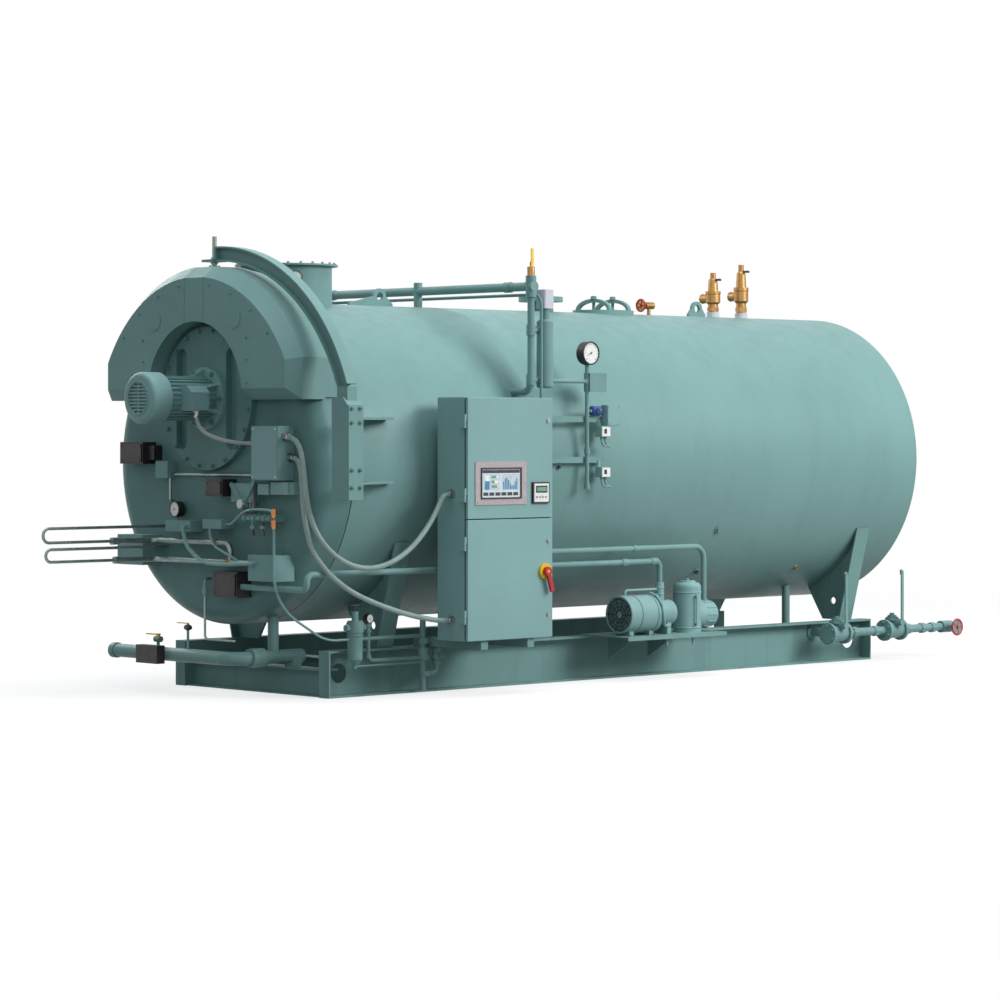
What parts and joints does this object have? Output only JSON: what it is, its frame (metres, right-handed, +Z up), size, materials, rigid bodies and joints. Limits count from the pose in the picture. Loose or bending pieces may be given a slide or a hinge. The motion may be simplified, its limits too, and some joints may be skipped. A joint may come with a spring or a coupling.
{
  "type": "packaged fire-tube boiler on a skid",
  "caption": "Packaged horizontal fire-tube steam boiler on a two-rail skid, with burner, fan shroud, door davit, control cabinet, valves and piping.",
  "frame": {"origin": "middle of the skid's footprint at floor level", "axes": "+X along the boiler from burner end to rear end, +Y away from the control side, +Z up"},
  "size_m": [7.558, 2.6258, 3.01],
  "materials": {
    "vessel_paint": "satin sage-green enamel",
    "skid_paint": "satin sage-green enamel",
    "pipe_paint": "satin sage-green enamel",
    "cabinet_paint": "semi-gloss sage-green enamel",
    "motor_paint": "satin enamel",
    "black_housing": "matt black",
    "gasket": "matt",
    "bronze": "cast bronze",
    "pale_paint": "satin pale grey",
    "gauge_case": "black case",
    "panel_grey": "satin grey plate",
    "handle_red": "red",
    "handle_yellow": "yellow",
    "lever_steel": "satin enamel",
    "conduit_grey": "grey sheath",
    "tube_steel": "drawn tube"
  },
  "bodies": {
    "boiler": {"actuators": "black_housing", "air_pipes": "pipe_paint", "blowdown_pipe": "pipe_paint", "blowdown_valves": "pipe_paint", "boiler_shell": "vessel_paint", "brass_valves": "bronze", "burner_manifold": "pipe_paint", "burner_plate": "vessel_paint", "cabinet_arms": "skid_paint", "cabinet_body": "cabinet_paint", "compressor": "motor_paint", "compressor_shelf": "skid_paint", "compressor_tank": "motor_paint", "conduit_lower": "conduit_grey", "conduit_upper": "conduit_grey", "control_bars": "pipe_paint", "cutoff_heads": "pale_paint", "davit_arm": "vessel_paint", "davit_post": "vessel_paint", "davit_rod": "tube_steel", "dial_gauges": "gauge_case", "door_gasket": "gasket", "fan_shroud": "vessel_paint", "front_door": "vessel_paint", "front_tube_sheet": "vessel_paint", "front_tubes": "tube_steel", "fuel_loops": "tube_steel", "gas_pipe": "pipe_paint", "gauge_manifold": "pipe_paint", "junction_boxes": "cabinet_paint", "lifting_lugs": "vessel_paint", "loop_plate": "vessel_paint", "manway_cover": "vessel_paint", "manway_ring": "vessel_paint", "motor_body": "motor_paint", "motor_conduit": "conduit_grey", "motor_fan_cover": "motor_paint", "motor_terminal_box": "motor_paint", "pressure_controls": "panel_grey", "rail_far": "skid_paint", "rail_fittings": "pipe_paint", "rail_near": "skid_paint", "rear_head": "vessel_paint", "saddle_legs": "skid_paint", "safety_valve_bases": "pale_paint", "safety_valves": "bronze", "skid_cross_members": "skid_paint", "stack_outlet": "vessel_paint", "steam_header": "pipe_paint", "steam_nozzle": "vessel_paint", "water_columns": "pipe_paint"},
    "cabinet_upper_door": {"cabinet_upper_door": "cabinet_paint", "screen_panel": "panel_grey", "controller_module": "panel_grey"},
    "cabinet_lower_door": {"cabinet_lower_door": "cabinet_paint", "disconnect_base": "handle_yellow"},
    "disconnect_handle": {"disconnect_handle": "handle_red"},
    "blowdown_lever_front": {"blowdown_lever_front": "lever_steel"},
    "blowdown_lever_rear": {"blowdown_lever_rear": "lever_steel"}
  },
  "joints": [
    {"name": "upper_door_swing", "type": "hinge", "parent": "boiler", "child": "cabinet_upper_door", "pos_m": [-2.029, -1.385, 1.55], "axis": [0, 0, -1], "range_deg": [0, 110]},
    {"name": "lower_door_swing", "type": "hinge", "parent": "boiler", "child": "cabinet_lower_door", "pos_m": [-2.029, -1.385, 0.76], "axis": [0, 0, -1], "range_deg": [0, 110]},
    {"name": "disconnect_turn", "type": "hinge", "parent": "cabinet_lower_door", "child": "disconnect_handle", "pos_m": [-1.321, -1.42, 0.80292], "axis": [0, 1, 0], "range_deg": [0, 90]},
    {"name": "blowdown_lever_front_turn", "type": "hinge", "parent": "boiler", "child": "blowdown_lever_front", "pos_m": [2.12, -1.04, 0.285], "axis": [0, 1, 0], "range_deg": [0, 90]},
    {"name": "blowdown_lever_rear_turn", "type": "hinge", "parent": "boiler", "child": "blowdown_lever_rear", "pos_m": [2.761, -1.04, 0.285], "axis": [0, 1, 0], "range_deg": [0, 90]}
  ]
}
